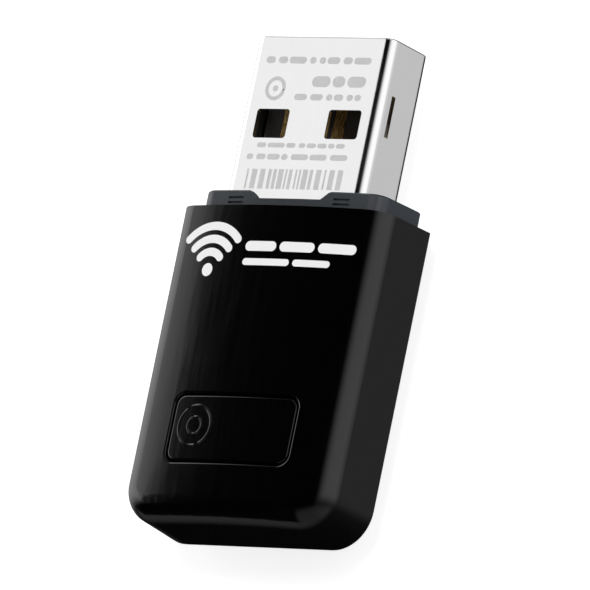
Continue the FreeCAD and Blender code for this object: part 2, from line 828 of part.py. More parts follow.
# ---------------------------------------------------------------------------------------------
# Circuit board and the components on it
# ---------------------------------------------------------------------------------------------

define(
    board_width=14.9,
    board_tail_gap=1.75,
    board_front=1.0,
    board_arm_front=2.75,
    board_arm_inner=6.2,
    board_corner=2.6,
    board_hole=0.5,
)

BOARD_TAIL = f"({TAIL} + Dims.board_tail_gap)"


def make_main_board():
    """Circuit board: rounded tail corners, two arms that carry the plug's legs, four locating holes."""
    body = new_body("main_board")
    side = "Dims.board_width / 2"
    outline = new_sketch(body, "board_outline", "XY_Plane", "Dims.board_underside")
    corners = [
        (f"-{side}", "Dims.board_arm_front"),
        (f"-{side}", BOARD_TAIL, "Dims.board_corner"),
        (side, BOARD_TAIL, "Dims.board_corner"),
        (side, "Dims.board_arm_front"),
        ("Dims.board_arm_inner", "Dims.board_arm_front"),
        ("Dims.board_arm_inner", "Dims.board_front"),
        ("-Dims.board_arm_inner", "Dims.board_front"),
        ("-Dims.board_arm_inner", "Dims.board_arm_front"),
    ]
    draw_polygon(outline, corners)
    pad(body, "board_plate", outline, "Dims.board_thickness")
    holes = new_sketch(body, "board_hole_profile", "XY_Plane", BOARD_TOP)
    for x, y in POSTS:
        draw_circle(holes, x, y, "Dims.board_hole")
    pocket(body, "board_holes", holes)


def make_package(label, size, centre, bevel=0.1, under=False):
    """A moulded component package standing on the board, or hanging under it."""
    names = [f"{label}_{name}" for name in ("width", "depth", "height", "across", "along")]
    define(**dict(zip(names, size + centre)))
    width, depth, height, across, along = [f"Dims.{name}" for name in names]
    base = f"Dims.board_underside - {height}" if under else BOARD_TOP
    box = block(label + "_box", (width, depth, height), (across, along), base)
    level = number(base if under else f"{base} + {height}")
    package = bevelled(label + "_package", box, bevel, lambda point: abs(point.z - level) < TOUCH)
    return keep(package, label)


define(
    capacitor_length=1.0,
    capacitor_width=0.5,
    capacitor_height=0.5,
    capacitor_pitch=1.3,
    capacitor_row_y=-8.35,
    bulk_capacitor_width=1.25,
    bulk_capacitor_depth=2.0,
    bulk_capacitor_height=1.25,
    bulk_capacitor_x=-6.3,
    bulk_capacitor_y=-10.7,
    resistor_length=1.0,
    resistor_width=0.5,
    resistor_height=0.35,
    resistor_pitch=0.95,
    resistor_x=4.1,
    resistor_row_y=-12.6,
    lead_width=0.3,
    lead_reach=0.8,
    lead_height=0.2,
    lead_pitch=0.65,
)
CAPACITORS_IN_ROW = 5
RESISTORS_IN_COLUMN = 4
LEADS_PER_SIDE = 4


def make_capacitors():
    """Ceramic capacitors: a row between the wireless chip and the switch, and two larger ones."""
    size = ("Dims.capacitor_width", "Dims.capacitor_length", "Dims.capacitor_height")
    pieces = []
    for i in range(CAPACITORS_IN_ROW):
        x = f"{i - (CAPACITORS_IN_ROW - 1) / 2} * Dims.capacitor_pitch"
        pieces.append(block(f"capacitor_{i}", size, (x, "Dims.capacitor_row_y"), BOARD_TOP))
    bulk_size = [f"Dims.bulk_capacitor_{name}" for name in ("width", "depth", "height")]
    for name, side in (("left", ""), ("right", "-")):
        place = (f"{side}Dims.bulk_capacitor_x", "Dims.bulk_capacitor_y")
        pieces.append(block(f"bulk_capacitor_{name}", bulk_size, place, BOARD_TOP))
    group("capacitors", pieces)


def make_resistors():
    """Two short columns of chip resistors beside the switch."""
    size = ("Dims.resistor_length", "Dims.resistor_width", "Dims.resistor_height")
    pieces = []
    for name, side in (("left", "-"), ("right", "")):
        for i in range(RESISTORS_IN_COLUMN):
            place = (f"{side}Dims.resistor_x", f"Dims.resistor_row_y + {i} * Dims.resistor_pitch")
            pieces.append(block(f"resistor_{name}_{i}", size, place, BOARD_TOP))
    group("resistors", pieces)


def make_memory_leads():
    """The memory chip's leads, in a row along each side of its package under the board."""
    size = ("Dims.lead_reach", "Dims.lead_width", "Dims.lead_height")
    pieces = []
    for name, side in (("left", "-"), ("right", "+")):
        x = f"Dims.memory_chip_across {side} (Dims.memory_chip_width + Dims.lead_reach) / 2"
        for i in range(LEADS_PER_SIDE):
            y = f"Dims.memory_chip_along + {i - (LEADS_PER_SIDE - 1) / 2} * Dims.lead_pitch"
            base = "Dims.board_underside - Dims.lead_height"
            pieces.append(block(f"memory_lead_{name}_{i}", size, (x, y), base))
    group("memory_leads", pieces)


define(
    trace_width=0.45,
    trace_thickness=0.05,
    antenna_inner_x=1.1,
    antenna_feed_length=1.5,
    antenna_tail_gap=0.45,
    antenna_step=0.85,
    antenna_turn_depth=1.1,
)
ANTENNA_TURNS = 4


def make_antenna(label, side):
    """A printed antenna: a meandering copper trace that runs outwards along the board's tail."""
    pieces = []
    near = f"({BOARD_TAIL} + Dims.antenna_tail_gap)"
    far = f"({near} + Dims.antenna_turn_depth)"
    for i in range(ANTENNA_TURNS):
        x = f"(Dims.antenna_inner_x + {i} * Dims.antenna_step)"
        upright_size = (
            "Dims.trace_width", "Dims.antenna_turn_depth + Dims.trace_width", "Dims.trace_thickness"
        )
        upright_centre = (f"{side}{x}", f"({near} + {far}) / 2")
        pieces.append(block(f"{label}_upright_{i}", upright_size, upright_centre, BOARD_TOP))
        if i == ANTENNA_TURNS - 1:
            continue
        link_size = ("Dims.antenna_step", "Dims.trace_width", "Dims.trace_thickness")
        link_y = far if i % 2 else near
        link_centre = (f"{side}({x} + Dims.antenna_step / 2)", link_y)
        pieces.append(block(f"{label}_link_{i}", link_size, link_centre, BOARD_TOP))
    feed_size = (
        "Dims.trace_width", "Dims.antenna_feed_length + Dims.trace_width", "Dims.trace_thickness"
    )
    feed_y = f"{far} + (Dims.antenna_feed_length - Dims.trace_width) / 2"
    feed_centre = (f"{side}Dims.antenna_inner_x", feed_y)
    pieces.append(block(f"{label}_feed", feed_size, feed_centre, BOARD_TOP))
    keep(fuse(label + "_trace", pieces), label)


def make_components():
    make_package("wifi_chip", (6.5, 6.5, 0.9), (0.0, -4.3))
    make_package("crystal", (3.2, 2.5, 0.75), (5.35, -5.9), bevel=0.15)
    make_package("power_inductor", (2.5, 2.2, 1.3), (-5.5, -5.9), bevel=0.2)
    make_package("voltage_regulator", (2.9, 1.6, 1.1), (-5.2, -8.0), bevel=0.12)
    make_package("rf_switch", (2.0, 1.6, 0.7), (5.3, -8.4), bevel=0.08)
    make_package("esd_array", (2.0, 1.25, 0.95), (5.2, -0.3), bevel=0.1)
    make_package("ferrite_bead", (1.6, 0.8, 0.8), (-5.2, -0.3), bevel=0.08)
    make_package("memory_chip", (3.9, 3.0, 1.3), (2.2, -8.6), bevel=0.15, under=True)
    make_package("reservoir_capacitor", (3.5, 2.8, 1.5), (-3.2, -3.2), bevel=0.12, under=True)
    make_capacitors()
    make_resistors()
    make_memory_leads()
    make_antenna("antenna_left", "-")
    make_antenna("antenna_right", "")


# ---------------------------------------------------------------------------------------------
# Tactile switch under the key
# ---------------------------------------------------------------------------------------------

define(
    switch_width=4.2,
    switch_depth=3.2,
    switch_height=1.1,
    switch_cavity_radius=1.45,
    switch_cavity_floor=0.3,
    switch_plate=0.15,
    switch_plate_hole=0.9,
    switch_arm_depth=1.6,
    terminal_width=0.7,
    terminal_depth=0.5,
    plunger_radius=0.82,
    plunger_flange_radius=1.2,
    plunger_flange_height=0.2,
    dome_radius=1.35,
    dome_rise=0.52,
    dome_thickness=0.07,
    switch_play=0.02,
)

SWITCH_TOP = f"({BOARD_TOP} + Dims.switch_height)"
SWITCH_CENTRE = ("0", KEY_Y)


def make_switch():
    """Tactile switch: a base with a round well, a steel plate over it, a plunger and a snap dome."""
    size = ("Dims.switch_width", "Dims.switch_depth", "Dims.switch_height")
    base_block = block("switch_block", size, SWITCH_CENTRE, BOARD_TOP)
    well_floor = f"{BOARD_TOP} + Dims.switch_cavity_floor"
    well = drum("switch_well", "Dims.switch_cavity_radius", "Dims.switch_height", SWITCH_CENTRE, well_floor)
    keep(cut("switch_housing", base_block, well), "switch_base")

    plate_size = ("Dims.switch_width", "Dims.switch_depth", "Dims.switch_plate")
    plate = block("switch_plate_blank", plate_size, SWITCH_CENTRE, SWITCH_TOP)
    arm_size = ("Dims.switch_plate", "Dims.switch_arm_depth", "Dims.switch_height + Dims.switch_plate")
    arms = [
        block(
            f"switch_arm_{name}", arm_size,
            (f"{side}(Dims.switch_width + Dims.switch_plate) / 2", KEY_Y), BOARD_TOP,
        )
        for name, side in (("left", "-"), ("right", ""))
    ]
    frame = fuse("switch_frame_blank", [plate] + arms)
    hole = drum(
        "switch_plate_bore", "Dims.switch_plate_hole", "3 * Dims.switch_plate",
        SWITCH_CENTRE, f"{SWITCH_TOP} - Dims.switch_plate"
    )
    keep(cut("switch_frame_cut", frame, hole), "switch_frame")

    terminals = []
    for i, (x_side, y_side) in enumerate((("-", "-"), ("-", "+"), ("", "-"), ("", "+"))):
        x = f"{x_side}(Dims.switch_width / 2 - Dims.terminal_width / 2)"
        y = f"{KEY_Y} {y_side} (Dims.switch_depth + Dims.terminal_depth) / 2"
        terminal_size = ("Dims.terminal_width", "Dims.terminal_depth", "Dims.switch_plate")
        terminals.append(block(f"switch_terminal_{i}", terminal_size, (x, y), BOARD_TOP))
    group("switch_terminals", terminals)

    flange_top = f"({SWITCH_TOP} - Dims.switch_play)"
    flange_base = f"({flange_top} - Dims.plunger_flange_height)"
    stem = drum(
        "plunger_stem", "Dims.plunger_radius", f"Dims.key_stem_end - Dims.switch_play - {flange_base}",
        SWITCH_CENTRE, flange_base
    )
    flange = drum(
        "plunger_flange", "Dims.plunger_flange_radius", "Dims.plunger_flange_height",
        SWITCH_CENTRE, flange_base
    )
    keep(fuse("plunger_union", [stem, flange]), "switch_plunger")


def make_switch_dome():
    """Snap dome: a thin shallow spherical cap standing on the floor of the switch's well."""
    dome = doc.addObject("Part::Feature", "Dome")
    rim = number("Dims.dome_radius")
    rise = number("Dims.dome_rise")
    thickness = number("Dims.dome_thickness")
    sphere_radius = (rim ** 2 + rise ** 2) / (2 * rise)
    centre = FreeCAD.Vector(0, 0, rise - sphere_radius)
    outer = Part.makeSphere(sphere_radius, centre)
    inner = Part.makeSphere(sphere_radius - thickness, centre)
    keep_out = Part.makeBox(4 * rim, 4 * rim, 4 * sphere_radius)
    keep_out.translate(FreeCAD.Vector(-2 * rim, -2 * rim, -4 * sphere_radius))
    dome.Shape = outer.cut(inner).cut(keep_out)
    floor = number(f"{BOARD_TOP} + Dims.switch_cavity_floor")
    dome.Placement.Base = FreeCAD.Vector(0, number(KEY_Y), floor)
    keep(dome, "switch_dome")


# ---------------------------------------------------------------------------------------------
# Build, check and write the sub-parts
# ---------------------------------------------------------------------------------------------

def check_document():
    doc.recompute()
    for thing in doc.Objects:
        if "Invalid" in thing.State or "Error" in thing.State:
            raise RuntimeError(f"{thing.Label} failed: {thing.State}")
    for part in sub_parts:
        if part.Shape.isNull() or not part.Shape.isValid():
            raise RuntimeError(f"{part.Label} has no valid shape")


def write_parts():
    os.makedirs("parts", exist_ok=True)
    for part in sub_parts:
        part.Shape.exportStep(os.path.join("parts", part.Label + ".step"))
        box = part.Shape.BoundBox
        print(
            f"{part.Label:20s} {len(part.Shape.Solids)} solids {part.Shape.Volume:9.3f} mm3 "
            f"x {box.XMin:7.2f} {box.XMax:7.2f}  y {box.YMin:7.2f} {box.YMax:7.2f}  "
            f"z {box.ZMin:6.2f} {box.ZMax:6.2f}"
        )


make_front_cover()
make_back_cover()
make_nose_collar()
make_push_button()
make_usb_shell()
make_usb_insulator()
make_usb_contacts()
make_main_board()
make_components()
make_switch()
make_switch_dome()
check_document()
write_parts()
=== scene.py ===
import math
import random

import bmesh
import bpy
from mathutils import Matrix, Vector


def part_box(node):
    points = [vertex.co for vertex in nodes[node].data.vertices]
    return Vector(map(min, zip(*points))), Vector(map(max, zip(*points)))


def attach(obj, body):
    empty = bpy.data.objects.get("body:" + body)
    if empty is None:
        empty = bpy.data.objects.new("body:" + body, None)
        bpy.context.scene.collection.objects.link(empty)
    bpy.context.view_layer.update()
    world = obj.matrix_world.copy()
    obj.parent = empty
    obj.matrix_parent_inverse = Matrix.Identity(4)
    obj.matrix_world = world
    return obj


# A small black USB wireless adapter, lying on its back on a pale floor. Lengths are in metres, in the
# model's own frame: X across, Y towards the plug's tip, Z up from the back to the face with the key.

MM = 0.001

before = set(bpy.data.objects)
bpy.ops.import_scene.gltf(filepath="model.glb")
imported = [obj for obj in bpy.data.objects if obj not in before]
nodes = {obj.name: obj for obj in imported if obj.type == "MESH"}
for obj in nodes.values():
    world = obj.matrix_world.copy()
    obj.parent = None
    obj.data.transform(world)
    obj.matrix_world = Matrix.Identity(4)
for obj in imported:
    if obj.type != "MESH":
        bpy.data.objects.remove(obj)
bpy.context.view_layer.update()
scene = bpy.context.scene


# ---------------------------------------------------------------------------------------------
# Places read from the frame
# ---------------------------------------------------------------------------------------------

cover_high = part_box("front_cover")[1]
shell_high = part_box("usb_shell")[1]
key_low, key_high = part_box("push_button")

face_z = cover_high.z
rim_y = cover_high.y
tip_y = shell_high.y
plug_front_z = shell_high.z
key_y = (key_low.y + key_high.y) / 2

CROWN_RADIUS = 55 * MM


def face_height(x, top):
    """Height of the arched face at a distance x from the centre line."""
    return top - CROWN_RADIUS + math.sqrt(CROWN_RADIUS ** 2 - x ** 2)


# ---------------------------------------------------------------------------------------------
# Material helpers
# ---------------------------------------------------------------------------------------------

class Tree:
    """A node tree and short calls that add nodes to it."""

    def __init__(self, tree, place):
        self.tree = tree
        self.place = tree.nodes.new("ShaderNodeTexCoord").outputs[place]

    def add(self, kind, **inputs):
        node = self.tree.nodes.new(kind)
        for socket, value in inputs.items():
            self.feed(node.inputs[socket.replace("_", " ")], value)
        return node

    def feed(self, socket, value):
        if isinstance(value, bpy.types.NodeSocket):
            self.tree.links.new(value, socket)
        else:
            socket.default_value = value

    def calculate(self, operation, first, second):
        node = self.tree.nodes.new("ShaderNodeMath")
        node.operation = operation
        self.feed(node.inputs[0], first)
        self.feed(node.inputs[1], second)
        return node.outputs[0]

    def remap(self, value, low, high, start=0.0, stop=1.0, smooth=False):
        """Carry a value from one range to another, held at both ends."""
        node = self.add("ShaderNodeMapRange", Value=value)
        node.interpolation_type = "SMOOTHSTEP" if smooth else "LINEAR"
        node.inputs["From Min"].default_value = start
        node.inputs["From Max"].default_value = stop
        node.inputs["To Min"].default_value = low
        node.inputs["To Max"].default_value = high
        return node.outputs["Result"]

    def mix(self, factor, first, second):
        """Blend two colours."""
        node = self.tree.nodes.new("ShaderNodeMix")
        node.data_type = "RGBA"
        self.feed(node.inputs[0], factor)
        self.feed(node.inputs[6], first)
        self.feed(node.inputs[7], second)
        return node.outputs[2]


class Finish(Tree):
    """A Principled material with texture and relief."""

    def __init__(self, name, **settings):
        self.material = bpy.data.materials.new(name)
        self.material.use_nodes = True
        super().__init__(self.material.node_tree, "Object")
        self.shader = self.tree.nodes["Principled BSDF"]
        for socket, value in settings.items():
            self.shader.inputs[socket.replace("_", " ")].default_value = value

    def stretched(self, scale):
        """Texture coordinates scaled separately along X, Y and Z."""
        return self.add("ShaderNodeMapping", Vector=self.place, Scale=scale).outputs["Vector"]

    def noise(self, size, detail=3.0, vector=None):
        """Fractal noise whose features are about a given size in metres."""
        node = self.add(
            "ShaderNodeTexNoise", Vector=vector or self.place, Scale=1 / size, Detail=detail
        )
        return node.outputs["Fac"]

    def bump(self, height, depth, strength=1.0, below=None):
        """Surface relief of a given depth in metres, laid over any earlier bump."""
        node = self.add("ShaderNodeBump", Height=height, Strength=strength, Distance=depth)
        if below is not None:
            self.tree.links.new(below, node.inputs["Normal"])
        return node.outputs["Normal"]

    def drive(self, socket, value):
        self.tree.links.new(value, self.shader.inputs[socket])


def grey(level):
    return (level, level, level, 1.0)


# ---------------------------------------------------------------------------------------------
# Materials
# ---------------------------------------------------------------------------------------------

def gloss_black(name, level=0.0014):
    """Polished black moulding: faint flow waviness, hairline wipe marks and a slight drift of tone."""
    m = Finish(name, Roughness=0.16, Specular_IOR_Level=0.5)
    clouds = m.noise(3 * MM)
    m.drive("Base Color", m.mix(clouds, grey(level), grey(level * 1.6)))
    hairlines = m.noise(0.25 * MM, 2.0, m.stretched((1.0, 0.06, 1.0)))
    m.drive("Roughness", m.remap(hairlines, 0.13, 0.19, 0.3, 0.8))
    waves = m.bump(m.noise(2.2 * MM, 1.0), 0.002 * MM, 0.3)
    m.drive("Normal", m.bump(hairlines, 0.0002 * MM, 0.2, waves))
    return m.material


def textured_black(name):
    """Satin black moulding with a fine spark-eroded grain."""
    m = Finish(name, Roughness=0.34, Specular_IOR_Level=0.5)
    grain = m.noise(0.12 * MM, 4.0)
    m.drive("Base Color", m.mix(grain, grey(0.002), grey(0.004)))
    m.drive("Roughness", m.remap(m.noise(0.8 * MM), 0.28, 0.4))
    m.drive("Normal", m.bump(grain, 0.005 * MM, 0.35))
    return m.material


def satin_collar(name):
    """Blue-grey satin moulding with a fine grain."""
    m = Finish(name, Roughness=0.34, Specular_IOR_Level=0.5)
    grain = m.noise(0.08 * MM, 3.0)
    shade = m.mix(m.noise(1.5 * MM), (0.020, 0.025, 0.032, 1), (0.030, 0.037, 0.046, 1))
    m.drive("Base Color", shade)
    m.drive("Roughness", m.remap(grain, 0.28, 0.42, 0.3, 0.7))
    m.drive("Normal", m.bump(grain, 0.004 * MM, 0.4))
    return m.material


def plated_steel(name):
    """Bright nickel-plated sheet: fine rolling lines along the plug, faint rub marks from insertion."""
    m = Finish(name, Metallic=1.0, Roughness=0.13)
    rolling = m.noise(0.05 * MM, 3.0, m.stretched((1.0, 0.04, 1.0)))
    rubs = m.noise(0.5 * MM, 2.0, m.stretched((1.0, 0.12, 1.0)))
    m.drive("Base Color", m.mix(m.noise(4 * MM), grey(0.83), grey(0.87)))
    m.drive("Roughness", m.remap(rubs, 0.11, 0.17, 0.3, 0.75))
    m.drive("Normal", m.bump(rolling, 0.0005 * MM, 0.25))
    return m.material


def moulding(name, dark, light, roughness=0.5, grain_size=0.1 * MM):
    """Plain moulded part with a fine grain and a slight colour drift."""
    m = Finish(name, Roughness=roughness)
    grain = m.noise(grain_size, 3.0)
    m.drive("Base Color", m.mix(m.noise(1.2 * MM), dark, light))
    m.drive("Roughness", m.remap(grain, roughness - 0.08, roughness + 0.1, 0.3, 0.7))
    m.drive("Normal", m.bump(grain, 0.004 * MM, 0.4))
    return m.material


def bare_metal(name, dark, light, roughness=0.28):
    """Small stamped or plated metal part."""
    m = Finish(name, Metallic=1.0, Roughness=roughness)
    lines = m.noise(0.06 * MM, 3.0, m.stretched((1.0, 0.1, 1.0)))
    m.drive("Base Color", m.mix(m.noise(0.9 * MM), dark, light))
    m.drive("Roughness", m.remap(lines, roughness - 0.06, roughness + 0.12, 0.3, 0.7))
    m.drive("Normal", m.bump(lines, 0.001 * MM, 0.4))
    return m.material


def circuit_laminate(name):
    """Green solder mask over a faint woven glass pattern."""
    m = Finish(name, Roughness=0.3, Specular_IOR_Level=0.5)
    weave = m.add("ShaderNodeTexChecker", Vector=m.place, Scale=1 / (0.3 * MM)).outputs["Fac"]
    tone = m.mix(weave, (0.010, 0.085, 0.040, 1), (0.013, 0.100, 0.048, 1))
    m.drive("Base Color", m.mix(m.noise(2.5 * MM), tone, (0.008, 0.070, 0.034, 1)))
    m.drive("Roughness", m.remap(m.noise(0.4 * MM), 0.22, 0.38))
    m.drive("Normal", m.bump(m.noise(0.3 * MM, 2.0), 0.006 * MM, 0.3))
    return m.material


def printed_ink(name, level, roughness=0.5):
    """Pad-printed or laser-marked surface, slightly uneven in tone."""
    m = Finish(name, Roughness=roughness, Specular_IOR_Level=0.3)
    speckle = m.noise(0.06 * MM, 3.0)
    m.drive("Base Color", m.mix(speckle, grey(level * 0.94), grey(level)))
    m.drive("Normal", m.bump(speckle, 0.002 * MM, 0.3))
    return m.material


case_black = gloss_black("case_black")
key_black = gloss_black("key_black", 0.0016)
back_black = textured_black("back_black")
collar_blue = satin_collar("collar_blue")
steel = plated_steel("plated_steel")
insulator = moulding("insulator_dark", (0.012, 0.009, 0.007, 1), (0.022, 0.016, 0.012, 1), 0.42)
gold = bare_metal("contact_gold", (0.72, 0.46, 0.17, 1), (0.86, 0.60, 0.26, 1), 0.22)
laminate = circuit_laminate("board_laminate")
epoxy = moulding("chip_epoxy", grey(0.012), grey(0.022), 0.55, 0.05 * MM)
tin = bare_metal("tinned_metal", grey(0.62), grey(0.74), 0.3)
ferrite = moulding("ferrite_grey", grey(0.035), grey(0.06), 0.6, 0.04 * MM)
tantalum = moulding("tantalum_yellow", (0.55, 0.30, 0.05, 1), (0.66, 0.38, 0.08, 1), 0.45)
ceramic = moulding("ceramic_tan", (0.30, 0.20, 0.11, 1), (0.40, 0.28, 0.17, 1), 0.4)
copper = bare_metal("copper_trace", (0.60, 0.30, 0.14, 1), (0.72, 0.38, 0.19, 1), 0.35)
switch_black = moulding("switch_black", grey(0.016), grey(0.028), 0.5)
ivory = moulding("plunger_ivory", (0.55, 0.52, 0.44, 1), (0.64, 0.61, 0.53, 1), 0.45)

FINISHES = {
    case_black: ["front_cover"],
    key_black: ["push_button"],
    back_black: ["back_cover"],
    collar_blue: ["nose_collar"],
    steel: ["usb_shell"],
    insulator: ["usb_insulator"],
    gold: ["usb_contacts"],
    laminate: ["main_board"],
    epoxy: ["wifi_chip", "memory_chip", "voltage_regulator", "rf_switch", "esd_array", "resistors"],
    tin: ["crystal", "memory_leads", "switch_frame", "switch_terminals", "switch_dome"],
    ferrite: ["power_inductor", "ferrite_bead"],
    tantalum: ["reservoir_capacitor"],
    ceramic: ["capacitors"],
    copper: ["antenna_left", "antenna_right"],
    switch_black: ["switch_base"],
    ivory: ["switch_plunger"],
}


def finish_cad_nodes():
    for material, names in FINISHES.items():
        for name in names:
            mesh = nodes[name].data
            mesh.materials.clear()
            mesh.materials.append(material)


finish_cad_nodes()


# ---------------------------------------------------------------------------------------------
# Print, icon and laser marks
# ---------------------------------------------------------------------------------------------

# A round end is a few ribs on each side. The outermost stands part of a step in, so it keeps some width.
CAP_STEPS = 6
CAP_INSET = 0.3

# Share of a crowned stroke's height that is lost between its middle and its edges
CROWN_FALL = 0.75

# Mixed lengths, in millimetres, that greeked print is drawn from
DASH_LENGTHS = (0.55, 0.8, 1.1, 1.5)
DASH_GAPS = (0.14, 0.14, 0.3)
STRIPE_WIDTHS = (0.16, 0.28, 0.45)
STRIPE_GAPS = (0.16, 0.28)
SHORTEST_REST = 0.5

# A ring is an arc that stops just short of its start, in degrees
NEARLY_ROUND = 345
RING_STEPS = 30


def ribs_of(path, width, square):
    """Left and right points along a stroke of constant width with round or square ends."""
    points = [Vector(point) for point in path]
    radius = width / 2
    runs = [(ahead - behind).normalized() for behind, ahead in zip(points, points[1:])]
    ribs = []

    def rib(centre, along, half_width):
        across = Vector((-along.y, along.x)) * half_width
        ribs.append((centre + across, centre - across))

    cap = []
    if not square:
        cap = [math.pi / 2 * (step + CAP_INSET) / CAP_STEPS for step in range(CAP_STEPS)]
    for angle in cap:
        rib(points[0] - runs[0] * radius * math.cos(angle), runs[0], radius * math.sin(angle))
    for index, point in enumerate(points):
        behind = runs[max(index - 1, 0)]
        ahead = runs[min(index, len(runs) - 1)]
        rib(point, (behind + ahead).normalized(), radius)
    for angle in reversed(cap):
        rib(points[-1] + runs[-1] * radius * math.cos(angle), runs[-1], radius * math.sin(angle))
    return ribs


def add_stroke(mesh, path, width, surface, rise, sink, crowned, square):
    """Add one stroke to a mesh as a closed thin solid that follows a surface."""
    rings = []
    for left, right in ribs_of(path, width, square):
        middle = (left + right) / 2
        ring = []
        for point, lift in ((left, -sink), (left, rise), (middle, rise), (right, rise), (right, -sink)):
            height = surface(point.x) + lift
            if crowned and point is not middle and lift > 0:
                height -= CROWN_FALL * (rise + sink)
            ring.append(mesh.verts.new((point.x, point.y, height)))
        rings.append(ring)
    count = len(rings[0])
    for near, far in zip(rings, rings[1:]):
        for i in range(count):
            j = (i + 1) % count
            mesh.faces.new((near[i], near[j], far[j], far[i]))
    mesh.faces.new(rings[0][::-1])
    mesh.faces.new(rings[-1])


def arc(centre, radius, start, stop, steps=24):
    """Points along a circle, in degrees from +X."""
    angles = [math.radians(start + (stop - start) * i / steps) for i in range(steps + 1)]
    return [(centre[0] + radius * math.cos(a), centre[1] + radius * math.sin(a)) for a in angles]


def dot(centre):
    """The path of a round dot: a stroke with hardly any length."""
    hair = 0.001 * MM
    return [(centre[0] - hair, centre[1]), (centre[0] + hair, centre[1])]


def pill(left, right, y, width, steps=6):
    """A level stroke whose round ends reach from one X to another."""
    start = left + width / 2
    run = right - left - width
    return [(start + run * i / steps, y) for i in range(steps + 1)], width


def make_marks(name, strokes, surface, material, body, rise, sink, crowned=False, square=False):
    """One object that holds all the strokes of a mark. Each stroke is a path and a width."""
    mesh = bmesh.new()
    for path, width in strokes:
        add_stroke(mesh, path, width, surface, rise, sink, crowned, square)
    bmesh.ops.recalc_face_normals(mesh, faces=mesh.faces)
    data = bpy.data.meshes.new(name)
    mesh.to_mesh(data)
    mesh.free()
    data.materials.append(material)
    piece = bpy.data.objects.new(name, data)
    scene.collection.objects.link(piece)
    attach(piece, body)
    return piece


def dashes(left, right, from_tip, width, seed):
    """A row of pills of mixed lengths across the plug, as greeked small print. Sizes are in millimetres."""
    pick = random.Random(seed)
    strokes = []
    x = left
    while x < right - SHORTEST_REST:
        length = min(pick.choice(DASH_LENGTHS), right - x)
        strokes.append(pill(x * MM, (x + length) * MM, tip_y - from_tip * MM, width * MM))
        x += length + pick.choice(DASH_GAPS)
    return strokes


def stripes(left, right, near, far, seed):
    """A block of upright stripes of mixed widths, between two distances from the tip, in millimetres."""
    pick = random.Random(seed)
    strokes = []
    x = left
    while x < right - SHORTEST_REST:
        width = pick.choice(STRIPE_WIDTHS)
        middle = (x + width / 2) * MM
        path = [(middle, tip_y - from_tip * MM) for from_tip in (far, (near + far) / 2, near)]
        strokes.append((path, width * MM))
        x += width + pick.choice(STRIPE_GAPS)
    return strokes


def face_print_strokes():
    """A wireless fan, and two rows of rounded bars beside it."""
    fan = (-4.95 * MM, rim_y - 4.75 * MM)
    dot_size = 0.95 * MM
    wave_weight = 0.6 * MM
    wave_start, wave_stop = 44, 136
    upper_row, upper_weight = rim_y - 3.0 * MM, 0.72 * MM
    lower_row, lower_weight = rim_y - 4.15 * MM, 0.5 * MM

    strokes = [(dot(fan), dot_size)]
    for radius in (1.3 * MM, 2.25 * MM, 3.2 * MM):
        strokes.append((arc(fan, radius, wave_start, wave_stop), wave_weight))
    for left, right in ((-1.85, 0.85), (1.15, 4.1), (4.4, 7.5)):
        strokes.append(pill(left * MM, right * MM, upper_row, upper_weight))
    for left, right in ((-1.85, 2.2), (2.5, 5.6)):
        strokes.append(pill(left * MM, right * MM, lower_row, lower_weight))
    return strokes


def key_icon_strokes():
    """A broken ring around a smaller ring."""
    centre = (-3.2 * MM, key_y + 0.15 * MM)
    weight = 0.24 * MM
    outer, inner = 1.45 * MM, 0.62 * MM
    return [
        (arc(centre, outer, -60, 110, RING_STEPS), weight),
        (arc(centre, outer, 130, 280, RING_STEPS), weight),
        (arc(centre, inner, 0, NEARLY_ROUND, RING_STEPS), weight),
    ]


def plug_mark_strokes():
    """Rows of greeked small print, a ringed dot and a row of three bold bars."""
    strokes = dashes(left=-4.7, right=4.7, from_tip=1.75, width=0.5, seed=3)
    strokes += dashes(left=-1.6, right=4.4, from_tip=4.45, width=0.46, seed=5)
    strokes += dashes(left=-4.0, right=3.7, from_tip=8.0, width=0.34, seed=8)
    strokes += dashes(left=-4.7, right=4.4, from_tip=8.85, width=0.42, seed=14)

    ring = (-3.4 * MM, tip_y - 3.85 * MM)
    ring_radius, ring_weight, dot_size = 0.74 * MM, 0.28 * MM, 0.45 * MM
    strokes.append((arc(ring, ring_radius, 0, NEARLY_ROUND, RING_STEPS), ring_weight))
    strokes.append((dot(ring), dot_size))

    bold_row, bold_weight = tip_y - 3.3 * MM, 0.8 * MM
    for left, right in ((-0.3, 1.3), (1.5, 2.6), (2.8, 4.4)):
        strokes.append(pill(left * MM, right * MM, bold_row, bold_weight))
    return strokes


def stripe_strokes():
    """The block of stripes at the root of the plug."""
    return stripes(left=-4.4, right=4.5, near=9.75, far=11.2, seed=21)


def on_face(x):
    return face_height(x, face_z)


def on_key(x):
    return face_height(x, key_high.z)


def on_plug(x):
    return plug_front_z


ink = printed_ink("white_ink", 0.86)
laser = bare_metal("laser_grey", grey(0.60), grey(0.68), 0.4)
# The icon's black is lighter than the key's: a painted highlight that stands in for the glints off the
# raised ring.
icon_painted_highlight_black = gloss_black("icon_painted_highlight_black", 0.012)

face_print = make_marks(
    "face_print", face_print_strokes(), on_face, ink, "case",
    rise=0.012 * MM, sink=0.01 * MM
)
make_marks(
    "key_icon", key_icon_strokes(), on_key, icon_painted_highlight_black, "key",
    rise=0.08 * MM, sink=0.02 * MM, crowned=True
)
plug_marks = make_marks(
    "plug_marks", plug_mark_strokes(), on_plug, laser, "case",
    rise=0.004 * MM, sink=0.01 * MM
)
plug_stripes = make_marks(
    "plug_stripes", stripe_strokes(), on_plug, laser, "case",
    rise=0.004 * MM, sink=0.01 * MM, square=True
)


# ---------------------------------------------------------------------------------------------
# Floor, camera and light
# ---------------------------------------------------------------------------------------------

